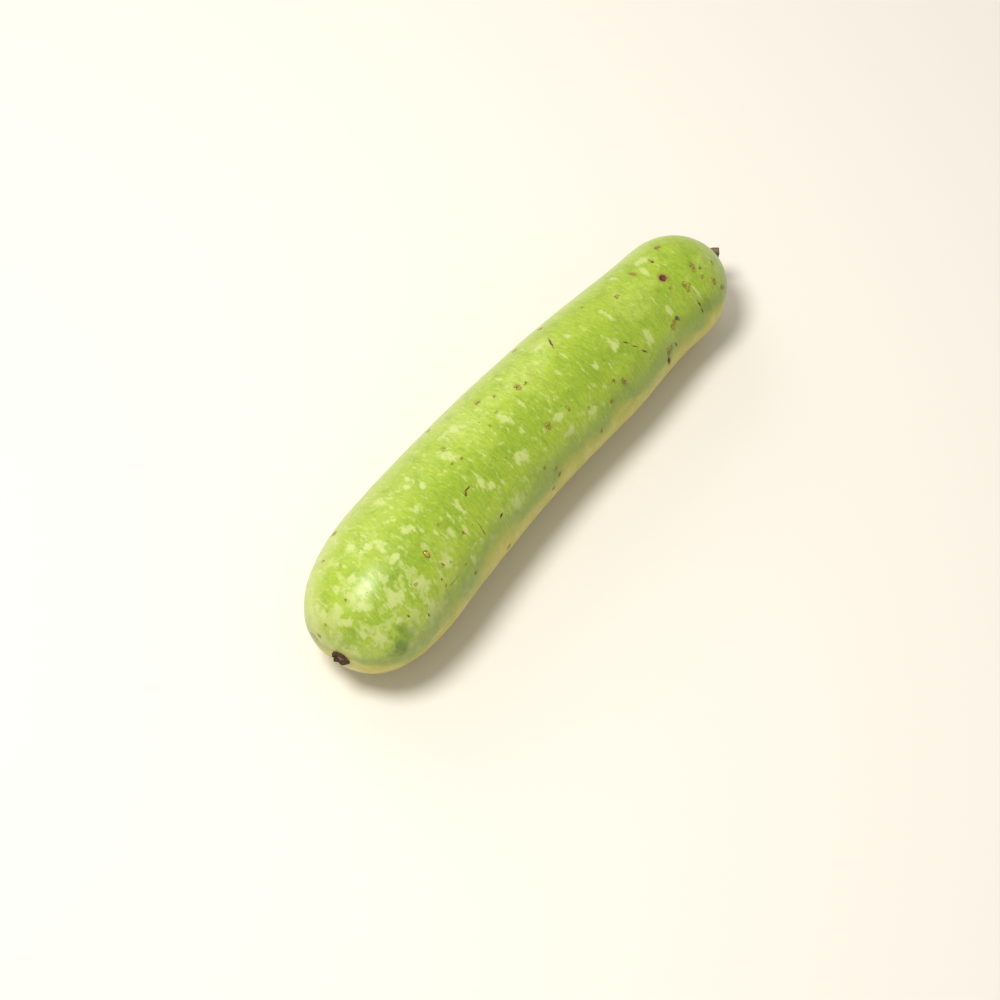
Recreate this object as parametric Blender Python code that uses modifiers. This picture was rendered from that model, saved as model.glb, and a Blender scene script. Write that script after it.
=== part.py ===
"""A bottle gourd, lying on its side: the fruit, its cut stem, its blossom scar and two drops of dried sap.

Metres, +Z up. The fruit lies along X, from the blossom end at -X to the stem end at +X, and rests on
z = 0. The origin is under the middle of the bounding box. Each size below can be changed by itself.
"""

import math

import bmesh
import bpy
from mathutils import Matrix, Vector

# The fruit's outline: distances along its centreline, and its radius there
LENGTH = 0.281  # from the blossom tip to the stem tip
BELLY_FROM_BLOSSOM = 0.0517  # the thickest place
BELLY_RADIUS = 0.0340
MIDDLE_RADIUS = 0.03125
HIP_FROM_STEM = 0.0865  # where the sides begin to draw in towards the neck
HIP_RADIUS = 0.0299
NECK_FROM_STEM = 0.0387  # the thinnest place
NECK_RADIUS = 0.0267
KNOB_FROM_STEM = 0.016  # the slight swelling at the stem end
KNOB_RADIUS = 0.0276
BLOSSOM_DOME = 0.0644  # length of the round blossom end
STEM_DOME = 0.0316  # length of the round stem end
BLOSSOM_BLUNTNESS = 2.95  # 2 makes an ellipse, more makes it blunter
STEM_BLUNTNESS = 1.92

# How it bows sideways, towards +Y, and how high its tips lie before the resting flat is cut
BELLY_BOW = 0.0064
MIDDLE_BOW = 0.0091
HIP_BOW = 0.0067
NECK_BOW = 0.0046
BLOSSOM_TIP_HEIGHT = 0.0354
STEM_TIP_HEIGHT = 0.0263
REST_DEPTH = 0.0007  # what the resting flat takes off the underside

# The stem stub, a stump that bends over sideways, towards -Y, and is cut at an angle
STUB_OFF_TIP = 0.0032  # how far from the stem tip it stands, towards +Y
STUB_LENGTH = 0.0062
STUB_RADIUS = 0.0025
STUB_FOOT_RADIUS = 0.0036
STUB_BEND = math.radians(68)
STUB_CUT_ANGLE = math.radians(12)

# The blossom scar, a low corky ring with a hollow middle
SCAR_OFF_TIP = 0.0042  # how far from the blossom tip its middle stands
SCAR_TURN = math.radians(-104)  # which way from the tip: 0 is +Y, 90 up, -90 down
SCAR_RADIUS = 0.0043
SCAR_HEIGHT = 0.0013
SCAR_HOLLOW_RADIUS = 0.0016
SCAR_HOLLOW_DEPTH = 0.0006

# The drops of sap: where they stand, as a distance and a turn from +Y over the top, and their size
BELLY_BEAD_FROM_BLOSSOM = 0.0478
BELLY_BEAD_TURN = math.radians(117)
BELLY_BEAD_RADIUS = 0.0016
NECK_BEAD_FROM_STEM = 0.0508
NECK_BEAD_TURN = math.radians(137)
NECK_BEAD_RADIUS = 0.0010
BEAD_FLATNESS = 0.75  # a drop's height over its width

GAP = 0.0003  # between two pieces that touch

# Fineness of the meshes
FRUIT_RINGS = 18  # in each half of the outline
FRUIT_SEGMENTS = 48
SMALL_SEGMENTS = 16

MERGE = 0.00001


def make_collection(name):
    collection = bpy.data.collections.new(name)
    bpy.context.scene.collection.children.link(collection)
    return collection


def make_material(name, colour, roughness):
    material = bpy.data.materials.new(name)
    material.use_nodes = True
    shader = material.node_tree.nodes["Principled BSDF"]
    shader.inputs["Base Color"].default_value = (*colour, 1)
    shader.inputs["Roughness"].default_value = roughness
    shader.inputs["Metallic"].default_value = 0
    return material


def ease(low, high, share):
    """From low to high as share goes from 0 to 1, level at both ends."""
    share = min(max(share, 0), 1)
    return low + (high - low) * (1 - math.cos(math.pi * share)) / 2


def slopes(knots):
    """The slope at each knot of a smooth curve: a natural end at both ends, a mean of both sides between."""
    chords = [(y1 - y0) / (x1 - x0) for (x0, y0), (x1, y1) in zip(knots, knots[1:])]
    inner = []
    for (x0, _), (x1, _), (x2, _), before, after in zip(knots, knots[1:], knots[2:], chords, chords[1:]):
        inner.append((before * (x2 - x1) + after * (x1 - x0)) / (x2 - x0))
    first = (3 * chords[0] - inner[0]) / 2
    last = (3 * chords[-1] - inner[-1]) / 2
    return [first, *inner, last]


def smooth_curve(knots, at):
    """The height, at this place, of the smooth curve through the knots. It is level outside them."""
    at = min(max(at, knots[0][0]), knots[-1][0])
    tilts = slopes(knots)
    for (x0, y0), (x1, y1), tilt0, tilt1 in zip(knots, knots[1:], tilts, tilts[1:]):
        if at <= x1:
            break
    span = x1 - x0
    t = (at - x0) / span
    line = y0 + (y1 - y0) * t
    bulge0 = (tilt0 - (y1 - y0) / span) * t * (1 - t) ** 2
    bulge1 = (tilt1 - (y1 - y0) / span) * t**2 * (1 - t)
    return line + (bulge0 - bulge1) * span


def side_radius(along):
    """The fruit's radius before its ends are rounded."""
    knots = [
        (BELLY_FROM_BLOSSOM, BELLY_RADIUS),
        (LENGTH / 2, MIDDLE_RADIUS),
        (LENGTH - HIP_FROM_STEM, HIP_RADIUS),
        (LENGTH - NECK_FROM_STEM, NECK_RADIUS),
        (LENGTH - KNOB_FROM_STEM, KNOB_RADIUS),
    ]
    return smooth_curve(knots, along)


def dome(depth, length, bluntness):
    """The share of the full radius at this depth behind the tip of a dome."""
    from_base = min(max(1 - depth / length, 0), 1)
    return (1 - from_base**bluntness) ** (1 / bluntness)


def fruit_radius(along):
    blossom_end = dome(along, BLOSSOM_DOME, BLOSSOM_BLUNTNESS)
    stem_end = dome(LENGTH - along, STEM_DOME, STEM_BLUNTNESS)
    return side_radius(along) * blossom_end * stem_end


def centre_height(along):
    """The centreline sinks towards the thinner end, so that belly and hip both rest on the floor."""
    knots = [
        (0, BLOSSOM_TIP_HEIGHT),
        (BELLY_FROM_BLOSSOM, BELLY_RADIUS),
        (LENGTH - HIP_FROM_STEM, HIP_RADIUS),
        (LENGTH, STEM_TIP_HEIGHT),
    ]
    return smooth_curve(knots, along) - REST_DEPTH


def centre_bow(along):
    knots = [
        (0, 0),
        (BELLY_FROM_BLOSSOM, BELLY_BOW),
        (LENGTH / 2, MIDDLE_BOW),
        (LENGTH - HIP_FROM_STEM, HIP_BOW),
        (LENGTH - NECK_FROM_STEM, NECK_BOW),
        (LENGTH, 0),
    ]
    return smooth_curve(knots, along)


def centre_point(along):
    return Vector((along - LENGTH / 2, centre_bow(along), centre_height(along)))


def centre_direction(along):
    step = LENGTH / 1000
    behind = max(along - step, 0)
    ahead = min(along + step, LENGTH)
    return (centre_point(ahead) - centre_point(behind)).normalized()


def skin_point(along, turn):
    """A point on the skin. The turn goes round the centreline, from +Y over the top to -Y."""
    forward = centre_direction(along)
    sideways = Vector((0, 0, 1)).cross(forward).normalized()
    upwards = forward.cross(sideways)
    return centre_point(along) + fruit_radius(along) * (sideways * math.cos(turn) + upwards * math.sin(turn))


def skin_normal(along, turn):
    """The outward direction of the skin there, from its slopes along and around the fruit."""
    step = LENGTH / 2000
    angle = math.radians(1)
    lengthwise = skin_point(along + step, turn) - skin_point(along - step, turn)
    around = skin_point(along, turn + angle) - skin_point(along, turn - angle)
    return around.cross(lengthwise).normalized()


def stem_dome_depth(radius):
    """How far behind the stem tip the stem dome has this radius."""
    from_axis = radius / KNOB_RADIUS
    return STEM_DOME * (1 - (1 - from_axis**STEM_BLUNTNESS) ** (1 / STEM_BLUNTNESS))


def outline_distances():
    """Distances along the centreline, close together towards both tips."""
    steps = 2 * FRUIT_RINGS
    return [LENGTH * (1 - math.cos(math.pi * step / steps)) / 2 for step in range(steps + 1)]


def make_turned(name, outline, segments, collection):
    """A closed shape turned about Z. The outline is (radius, height) pairs, from the top to the bottom."""
    mesh = bpy.data.meshes.new(name)
    points = [(radius, 0, height) for radius, height in outline]
    mesh.from_pydata(points, [(i, i + 1) for i in range(len(points) - 1)], [])
    turned = bpy.data.objects.new(name, mesh)
    collection.objects.link(turned)
    screw = turned.modifiers.new("Turn", "SCREW")
    screw.steps = screw.render_steps = segments
    screw.use_merge_vertices = True
    screw.merge_threshold = MERGE
    screw.use_smooth_shade = True
    return turned


def make_centreline(collection):
    """The guide that the straight fruit is bent along."""
    curve = bpy.data.curves.new("centreline", "CURVE")
    curve.dimensions = "3D"
    curve.twist_mode = "Z_UP"
    curve.use_stretch = True
    curve.use_deform_bounds = True
    spline = curve.splines.new("POLY")
    steps = 6 * FRUIT_RINGS
    spline.points.add(steps)
    for step, point in enumerate(spline.points):
        point.co = (*centre_point(LENGTH * step / steps), 1)
    guide = bpy.data.objects.new("centreline", curve)
    guide.hide_render = True
    collection.objects.link(guide)
    return guide


def make_cutter(name, size, place, collection):
    bpy.ops.mesh.primitive_cube_add(size=1)
    cutter = bpy.context.object
    cutter.name = name
    cutter.data.transform(place @ Matrix.Diagonal((*size, 1)))
    cutter.hide_render = True
    cutter.display_type = "WIRE"
    for owner in cutter.users_collection:
        owner.objects.unlink(cutter)
    collection.objects.link(cutter)
    return cutter


def cut(target, cutter):
    boolean = target.modifiers.new("Cut", "BOOLEAN")
    boolean.operation = "DIFFERENCE"
    boolean.solver = "EXACT"
    boolean.object = cutter


def make_fruit(parts, helpers, material):
    outline = [(fruit_radius(along), along) for along in reversed(outline_distances())]
    fruit = make_turned("fruit", outline, FRUIT_SEGMENTS, parts)
    bend = fruit.modifiers.new("Bend", "CURVE")
    bend.object = make_centreline(helpers)
    bend.deform_axis = "POS_Z"
    thickness = 4 * REST_DEPTH + BELLY_RADIUS
    size = (2 * LENGTH, 2 * LENGTH, thickness)
    below = Matrix.Translation((0, 0, -thickness / 2))
    cut(fruit, make_cutter("floor_cutter", size, below, helpers))
    fruit.data.materials.append(material)
    return fruit


def facing(direction):
    """The turn that takes +Z to this direction."""
    return direction.to_track_quat("Z", "Y").to_matrix().to_4x4()


def as_mesh(curve_object, name, collection):
    """The curve object's own solid, as a mesh whose caps are joined to its sides."""
    graph = bpy.context.evaluated_depsgraph_get()
    mesh = bpy.data.meshes.new_from_object(curve_object.evaluated_get(graph))
    shape = bmesh.new()
    shape.from_mesh(mesh)
    bmesh.ops.remove_doubles(shape, verts=shape.verts, dist=MERGE)
    bmesh.ops.recalc_face_normals(shape, faces=shape.faces)
    shape.to_mesh(mesh)
    shape.free()
    mesh.shade_smooth()
    result = bpy.data.objects.new(name, mesh)
    result.matrix_world = curve_object.matrix_world
    collection.objects.link(result)
    bpy.data.objects.remove(curve_object)
    return result


def stub_point(turn):
    """A point on the stub's own centreline, which leaves the skin straight and bends towards -Y."""
    along = LENGTH - stem_dome_depth(STUB_OFF_TIP)
    outward = skin_normal(along, 0)
    aside = outward.cross(Vector((0, 0, 1))).normalized()
    bend_radius = STUB_LENGTH / STUB_BEND
    ahead = GAP + bend_radius * math.sin(turn)
    return skin_point(along, 0) + outward * ahead + aside * bend_radius * (1 - math.cos(turn))


def make_stem_stub(parts, helpers, material):
    """A bent tube, wider at its foot, with its tip cut at an angle."""
    curve = bpy.data.curves.new("stem_stub", "CURVE")
    curve.dimensions = "3D"
    curve.bevel_depth = 1
    curve.bevel_resolution = 3
    curve.use_fill_caps = True
    spline = curve.splines.new("POLY")
    steps = 8
    spline.points.add(steps)
    overlength = 1 + 2 * math.tan(STUB_CUT_ANGLE) * STUB_RADIUS / STUB_LENGTH
    for step, point in enumerate(spline.points):
        share = overlength * step / steps
        point.co = (*stub_point(STUB_BEND * share), 1)
        point.radius = ease(STUB_FOOT_RADIUS, STUB_RADIUS, 2 * share)
    tube = bpy.data.objects.new("stub_tube", curve)
    helpers.objects.link(tube)
    stub = as_mesh(tube, "stem_stub", parts)
    along_tip = (stub_point(STUB_BEND) - stub_point(0.9 * STUB_BEND)).normalized()
    cut_direction = Matrix.Rotation(STUB_CUT_ANGLE, 3, "Z") @ along_tip
    side = 4 * STUB_RADIUS
    outside = Matrix.Translation(stub_point(STUB_BEND) + cut_direction * side / 2) @ facing(cut_direction)
    cut(stub, make_cutter("stub_cutter", (side, side, side), outside, helpers))
    stub.data.materials.append(material)
    return stub


def make_blossom_scar(parts, material):
    """A low turned ring around a hollow, standing just below the blossom tip."""
    rim = (SCAR_RADIUS + SCAR_HOLLOW_RADIUS) / 2
    outline = [
        (0, SCAR_HEIGHT - SCAR_HOLLOW_DEPTH),
        (SCAR_HOLLOW_RADIUS, SCAR_HEIGHT - SCAR_HOLLOW_DEPTH),
        (rim, SCAR_HEIGHT),
        (SCAR_RADIUS, SCAR_HEIGHT / 2),
        (SCAR_RADIUS, 0),
        (0, 0),
    ]
    scar = make_turned("blossom_scar", outline, SMALL_SEGMENTS, parts)
    forward = centre_direction(0)
    sideways = Vector((0, 0, 1)).cross(forward).normalized()
    upwards = forward.cross(sideways)
    off_tip = (sideways * math.cos(SCAR_TURN) + upwards * math.sin(SCAR_TURN)) * SCAR_OFF_TIP
    scar.matrix_world = Matrix.Translation(centre_point(0) + off_tip - forward * GAP) @ facing(-forward)
    scar.data.materials.append(material)
    return scar


def make_bead(name, along, turn, radius, parts, material):
    """A drop of sap: a flattened ball standing on the skin."""
    outward = skin_normal(along, turn)
    half_height = radius * BEAD_FLATNESS
    bpy.ops.mesh.primitive_uv_sphere_add(segments=SMALL_SEGMENTS, ring_count=SMALL_SEGMENTS // 2, radius=radius)
    bead = bpy.context.object
    bead.name = name
    bead.data.transform(Matrix.Diagonal((1, 1, BEAD_FLATNESS, 1)))
    bead.data.shade_smooth()
    bead.matrix_world = Matrix.Translation(skin_point(along, turn) + outward * (half_height + GAP)) @ facing(outward)
    for owner in bead.users_collection:
        owner.objects.unlink(bead)
    parts.objects.link(bead)
    bead.data.materials.append(material)
    return bead


def bounding_box(pieces):
    graph = bpy.context.evaluated_depsgraph_get()
    corners = []
    for piece in pieces:
        solid = piece.evaluated_get(graph)
        mesh = solid.to_mesh()
        corners += [solid.matrix_world @ vertex.co for vertex in mesh.vertices]
        solid.to_mesh_clear()
    low = Vector([min(corner[axis] for corner in corners) for axis in range(3)])
    high = Vector([max(corner[axis] for corner in corners) for axis in range(3)])
    return low, high


def centre_on_origin(pieces, helpers):
    """Parents everything to one empty, and moves it so that the box's bottom centre is the origin."""
    low, high = bounding_box(pieces)
    origin = bpy.data.objects.new("gourd_origin", None)
    helpers.objects.link(origin)
    for each in [*pieces, *(helper for helper in helpers.objects if helper is not origin)]:
        each.parent = origin
    origin.location = (-(low.x + high.x) / 2, -(low.y + high.y) / 2, -low.z)


def build():
    for old in list(bpy.data.objects):
        bpy.data.objects.remove(old)
    parts = make_collection("bottle_gourd")
    helpers = make_collection("helpers")
    helpers.hide_render = True
    skin = make_material("skin", (0.42, 0.58, 0.10), 0.4)
    dried_stem = make_material("dried_stem", (0.16, 0.12, 0.05), 0.85)
    scar_cork = make_material("scar_cork", (0.09, 0.055, 0.03), 0.95)
    dried_sap = make_material("dried_sap", (0.30, 0.15, 0.03), 0.15)
    belly_bead = (BELLY_BEAD_FROM_BLOSSOM, BELLY_BEAD_TURN, BELLY_BEAD_RADIUS)
    neck_bead = (LENGTH - NECK_BEAD_FROM_STEM, NECK_BEAD_TURN, NECK_BEAD_RADIUS)
    pieces = [
        make_fruit(parts, helpers, skin),
        make_stem_stub(parts, helpers, dried_stem),
        make_blossom_scar(parts, scar_cork),
        make_bead("sap_bead_belly", *belly_bead, parts, dried_sap),
        make_bead("sap_bead_neck", *neck_bead, parts, dried_sap),
    ]
    centre_on_origin(pieces, helpers)


build()
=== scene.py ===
# %% [markdown]
# # A bottle gourd
# A bottle gourd is a long green fruit with a thin, smooth rind. It lies on its side, a little bowed, with
# a dried flower scar at its fat end and the stump of its stalk at the other. The CAD model holds its sizes,
# so this script loads it first. Everything made below takes its place from that frame.

# %% Load the frame
import math

import bpy
import numpy as np
from mathutils import Matrix, Vector


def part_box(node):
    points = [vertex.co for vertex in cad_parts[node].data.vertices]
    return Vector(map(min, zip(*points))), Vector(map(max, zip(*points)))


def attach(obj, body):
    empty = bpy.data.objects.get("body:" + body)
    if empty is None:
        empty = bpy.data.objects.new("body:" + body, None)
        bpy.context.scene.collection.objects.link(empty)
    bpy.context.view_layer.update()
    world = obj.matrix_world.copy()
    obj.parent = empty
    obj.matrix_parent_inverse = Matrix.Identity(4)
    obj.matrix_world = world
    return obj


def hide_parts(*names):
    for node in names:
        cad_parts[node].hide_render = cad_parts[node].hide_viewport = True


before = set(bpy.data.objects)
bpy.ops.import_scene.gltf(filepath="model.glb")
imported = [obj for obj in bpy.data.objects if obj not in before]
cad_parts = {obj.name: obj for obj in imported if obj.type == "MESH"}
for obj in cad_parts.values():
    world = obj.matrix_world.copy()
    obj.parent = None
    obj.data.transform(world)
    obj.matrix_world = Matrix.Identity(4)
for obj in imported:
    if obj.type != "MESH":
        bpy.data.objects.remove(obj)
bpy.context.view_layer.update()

MM = 0.001
TOUCHING = 0.001 * MM


def deselect_all():
    if bpy.context.object and bpy.context.object.mode != "OBJECT":
        bpy.ops.object.mode_set(mode="OBJECT")
    bpy.ops.object.select_all(action="DESELECT")


def make_active(piece):
    deselect_all()
    piece.select_set(True)
    bpy.context.view_layer.objects.active = piece


def points_of(piece):
    return np.array([point.co for point in piece.data.vertices])


# %% [markdown]
# ## The camera
# The viewer stands over the blossom end and looks down steeply along the fruit. A long lens from over a
# metre away keeps the far end nearly as large as the near end. The camera is aimed by its heading, its
# downward tilt and a small roll, which are easier to read than a rotation matrix.

# %% Place the camera
CAMERA_TARGET = Vector((-0.0351, -0.0122, 0.030))
CAMERA_DISTANCE = 1.299
CAMERA_HEADING = math.radians(35.93)
CAMERA_TILT = math.radians(59.14)
CAMERA_ROLL = math.radians(2.48)
LENS = 102.7


def aim_camera():
    camera_data = bpy.data.cameras.new("studio_camera")
    camera_data.lens = LENS
    camera = bpy.data.objects.new("studio_camera", camera_data)
    bpy.context.scene.collection.objects.link(camera)
    level = Vector((math.cos(CAMERA_HEADING), math.sin(CAMERA_HEADING), 0))
    forward = level * math.cos(CAMERA_TILT) - Vector((0, 0, 1)) * math.sin(CAMERA_TILT)
    turn = forward.to_track_quat("-Z", "Y").to_matrix() @ Matrix.Rotation(CAMERA_ROLL, 3, "Z")
    camera.matrix_world = Matrix.Translation(CAMERA_TARGET - forward * CAMERA_DISTANCE) @ turn.to_4x4()
    bpy.context.scene.camera = camera
    return camera


camera = aim_camera()
print("camera at", [round(value, 3) for value in camera.matrix_world.translation])

# %% [markdown]
# ## Floor and light
# A plain pale floor catches the shadow and throws a little light back onto the underside. The main light is
# a large soft box, high up and a little behind the blossom end, which draws one broad soft shine on that
# end. A weaker one shines across from the far side, and a bright even sky stands for white studio walls.

# %% Make the floor and the lights
KEY_DIRECTION = Vector((-0.30, 0.16, 0.94))
KEY_DISTANCE = 1.3
KEY_SIZE = 0.42
KEY_POWER = 14
SIDE_DIRECTION = Vector((0.25, 0.90, 0.60))
SIDE_DISTANCE = 1.5
SIDE_SIZE = 1.1
SIDE_POWER = 4
SKY_STRENGTH = 0.51
SKY_COLOUR = (1, 0.99, 0.97, 1)
FLOOR_COLOUR = (0.80, 0.75, 0.66, 1)
FLOOR_SIZE = 8


def add_softbox(name, direction, distance, size, power):
    bpy.ops.object.light_add(type="AREA", location=direction.normalized() * distance)
    lamp = bpy.context.object
    lamp.name = name
    lamp.data.shape = "DISK"
    lamp.data.size = size
    lamp.data.energy = power
    lamp.rotation_euler = direction.to_track_quat("Z", "Y").to_euler()
    return lamp


def make_sky(strength):
    world = bpy.data.worlds.new("studio_walls")
    world.use_nodes = True
    walls = world.node_tree.nodes["Background"]
    walls.inputs["Color"].default_value = SKY_COLOUR
    walls.inputs["Strength"].default_value = strength
    bpy.context.scene.world = world


def make_floor():
    deselect_all()
    bpy.ops.mesh.primitive_plane_add(size=FLOOR_SIZE)
    floor = bpy.context.object
    floor.name = "studio_floor"
    paint = bpy.data.materials.new("pale_floor")
    paint.use_nodes = True
    shader = paint.node_tree.nodes["Principled BSDF"]
    shader.inputs["Base Color"].default_value = FLOOR_COLOUR
    shader.inputs["Roughness"].default_value = 0.9
    shader.inputs["Specular IOR Level"].default_value = 0.2
    floor.data.materials.append(paint)


make_floor()
add_softbox("soft_box_above", KEY_DIRECTION, KEY_DISTANCE, KEY_SIZE, KEY_POWER)
add_softbox("soft_box_behind", SIDE_DIRECTION, SIDE_DISTANCE, SIDE_SIZE, SIDE_POWER)
make_sky(SKY_STRENGTH)
bpy.context.scene.view_settings.view_transform = "Standard"
print("one floor, two soft boxes and a bright sky")

# %% [markdown]
# ## Measuring the fruit
# The CAD fruit has the right size and bend, but its facets are too coarse for a smooth rind. The fine rind
# is built again from measurements: the CAD fruit is cut by a row of upright planes, and an ellipse is
# fitted through each cut. The flat that it rests on isn't part of the ellipse, so points near the floor
# are left out of the fit.

# %% Cut the CAD fruit into slices
RINGS_PER_HALF = 50
FLOOR_CLEARANCE = 1.5 * MM


def slice_points(triangles, x):
    """Where the edges of the fruit cross the upright plane at this x, as an array of (y, z)."""
    starts = triangles.reshape(-1, 3)
    ends = np.roll(triangles, -1, axis=1).reshape(-1, 3)
    crossing = (starts[:, 0] - x) * (ends[:, 0] - x) < 0
    starts, ends = starts[crossing], ends[crossing]
    share = (x - starts[:, 0]) / (ends[:, 0] - starts[:, 0])
    return (starts + (ends - starts) * share[:, None])[:, 1:]


def fit_ellipse(points):
    """(centre y, centre z, half width, half height) of the upright ellipse nearest to the points."""
    y, z = (points / MM).T
    table = np.stack([y * y, z * z, y, z], axis=1)
    a, b, c, d = np.linalg.lstsq(table, np.ones(len(y)), rcond=None)[0]
    y0, z0 = -c / (2 * a), -d / (2 * b)
    level = 1 + a * y0**2 + b * z0**2
    return np.array([y0, z0, math.sqrt(level / a), math.sqrt(level / b)]) * MM


def measure_fruit(fruit):
    mesh = fruit.data
    mesh.calc_loop_triangles()
    corners = np.array([mesh.vertices[i].co for t in mesh.loop_triangles for i in t.vertices])
    triangles = corners.reshape(-1, 3, 3)
    low, high = corners[:, 0].min(), corners[:, 0].max()
    steps = 2 * RINGS_PER_HALF
    rows = []
    for step in range(1, steps):
        x = low + (high - low) * (1 - math.cos(math.pi * step / steps)) / 2
        points = slice_points(triangles, x)
        rows.append([x, *fit_ellipse(points[points[:, 1] > FLOOR_CLEARANCE])])
    return np.array(rows), low, high


slices, blossom_x, stem_x = measure_fruit(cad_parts["fruit"])
belly = slices[:, 3].argmax()
print(len(slices), "slices; the belly is", round(2000 * slices[belly, 3], 1), "mm wide")
print("tip to tip:", round((stem_x - blossom_x) / MM, 1), "mm")

# %% [markdown]
# ## The rind
# The rind is one closed skin, like a balloon. One ring of points is laid around the blossom end, and it is
# extruded and resized from slice to slice until it reaches the stem end, and both ends are drawn together
# into a point. A lathe would be shorter, but it can't follow a bowed fruit. Subdivision then rounds it off.

# %% Build the rind ring by ring
SEGMENTS = 60


def select_points(piece, test):
    """Selects the points whose place passes the test, and leaves the piece in edit mode."""
    make_active(piece)
    for element in (*piece.data.polygons, *piece.data.edges):
        element.select = False
    for point in piece.data.vertices:
        point.select = bool(test(point.co))
    bpy.ops.object.mode_set(mode="EDIT")


def edit_all():
    bpy.ops.object.mode_set(mode="EDIT")
    bpy.ops.mesh.select_all(action="SELECT")


def end_edit():
    """Turns every face outwards and leaves edit mode."""
    bpy.ops.mesh.select_all(action="SELECT")
    bpy.ops.mesh.normals_make_consistent(inside=False)
    bpy.ops.object.mode_set(mode="OBJECT")


def start_ring(name, centre, half_width, half_height, segments):
    deselect_all()
    bpy.ops.mesh.primitive_circle_add(vertices=segments, radius=1, rotation=(0, math.pi / 2, 0))
    piece = bpy.context.object
    piece.name = piece.data.name = name
    bpy.ops.object.transform_apply(location=False, rotation=True, scale=False)
    edit_all()
    bpy.ops.transform.resize(value=(1, half_width, half_height), center_override=(0, 0, 0))
    bpy.ops.transform.translate(value=centre)
    return piece


def next_ring(shift, stretch, centre):
    bpy.ops.mesh.extrude_region_move(TRANSFORM_OT_translate={"value": shift})
    bpy.ops.transform.resize(value=stretch, center_override=centre)


def close_end(shift):
    bpy.ops.mesh.extrude_region_move(TRANSFORM_OT_translate={"value": shift})
    bpy.ops.mesh.merge(type="CENTER")


def make_rind():
    first = slices[0]
    piece = start_ring("rind", first[:3], first[3], first[4], SEGMENTS)
    for before, after in zip(slices, slices[1:]):
        stretch = (1, after[3] / before[3], after[4] / before[4])
        next_ring(after[:3] - before[:3], stretch, after[:3])
    close_end((stem_x - slices[-1, 0], 0, 0))
    select_points(piece, lambda place: place.x < first[0] + TOUCHING)
    close_end((blossom_x - first[0], 0, 0))
    end_edit()
    return piece


def smooth_out(piece, levels):
    make_active(piece)
    smooth = piece.modifiers.new("smooth", "SUBSURF")
    smooth.levels = smooth.render_levels = levels
    bpy.ops.object.modifier_apply(modifier=smooth.name)
    bpy.ops.object.shade_smooth()


rind = make_rind()
print("rings of the rind:", len(slices), "with", SEGMENTS, "points each")
smooth_out(rind, 2)
print("rind after subdivision:", len(rind.data.polygons), "faces")

# %% [markdown]
# ## Places on the fruit
# A grower would say where a mark is by how far it is from the flower end, and how far round. This cell
# turns such a pair into a point on the skin: a line goes out from the middle of the fruit, and the place
# is where it meets the rind. Turn 0 is the side away from the viewer, 90 is the top and 180 the near side.

# %% Find a place on the skin
LENGTHWISE = Vector((1, 0, 0))
UPWARDS = Vector((0, 0, 1))
END_LEFT_OUT = 45 * MM
END_WEIGHT = 20
CURVE_DEGREE = 5
STALK_OFF_TIP = 3.2 * MM
SCAR_OFF_TIP = Vector((0, -1.0, -4.1)) * MM


def flat_ends(piece):
    """(area, middle, direction) of the flat faces of a CAD node, the largest first."""
    found = {}
    for face in piece.data.polygons:
        key = tuple(round(value, 2) for value in (*face.normal, 100 * face.center.dot(face.normal)))
        area, weighted, normal = found.get(key, (0, Vector(), face.normal.copy()))
        found[key] = (area + face.area, weighted + face.center * face.area, normal)
    ends = [(area, weighted / area, normal) for area, weighted, normal in found.values()]
    return sorted(ends, key=lambda end: -end[0])


def fit_middle():
    """The blossom tip, and curves y(x) and z(x) through both tips and the slices that lean little."""
    blossom_tip = flat_ends(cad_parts["blossom_scar"])[0][1] - SCAR_OFF_TIP
    stem_tip = flat_ends(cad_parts["stem_stub"])[0][1] - Vector((0, STALK_OFF_TIP, 0))
    inner = (slices[:, 0] > blossom_x + END_LEFT_OUT) & (slices[:, 0] < stem_x - END_LEFT_OUT)
    points = np.vstack([slices[inner, :3], [blossom_tip, stem_tip]])
    weights = np.append(np.ones(inner.sum()), [END_WEIGHT, END_WEIGHT])
    fit = np.polynomial.Polynomial.fit
    curves = [fit(points[:, 0], points[:, axis], CURVE_DEGREE, w=weights) for axis in (1, 2)]
    return blossom_tip, curves


blossom_tip, middle_curves = fit_middle()


def middle_at(x):
    return Vector((x, middle_curves[0](x), middle_curves[1](x)))


def skin_at(along, turn):
    """(place, outward direction) on the rind, from mm along the fruit and degrees round it."""
    x = blossom_tip.x + along * MM
    ahead = (middle_at(x + MM) - middle_at(x - MM)).normalized()
    side = UPWARDS.cross(ahead).normalized()
    up = ahead.cross(side)
    angle = math.radians(turn)
    outward = side * math.cos(angle) + up * math.sin(angle)
    _, place, normal, _ = rind.ray_cast(middle_at(x), outward)
    return place, normal


def directions_of(outward, tilt):
    """The lengthwise, round and outward directions where the skin faces outward, as a matrix's columns."""
    round_way = outward.cross(LENGTHWISE).normalized()
    columns = Matrix((round_way.cross(outward), round_way, outward)).transposed()
    return columns @ Matrix.Rotation(math.radians(tilt), 3, "Z")


def skin_frame(along, turn, tilt=0):
    place, outward = skin_at(along, turn)
    return place, directions_of(outward, tilt)


bpy.context.view_layer.update()
print("top of the middle, in mm:", [round(value / MM, 1) for value in skin_at(140, 90)[0]])

# %% [markdown]
# ## Lumps, dents and pits
# A real rind isn't a perfect tube. It has soft lumps a few centimetres long, shallow finger-sized waves,
# and a few pits where an insect or a twig marked it. The lumps come from a Displace modifier with a cloud
# texture. The pits use the same modifier with a group of weighted points, so that only they sink in. Each
# lump pattern is its size in metres and its strength in mm. Each pit is mm along, degrees round, half its
# length and half its width in mm, a tilt in degrees, and its share of the full depth.

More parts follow.
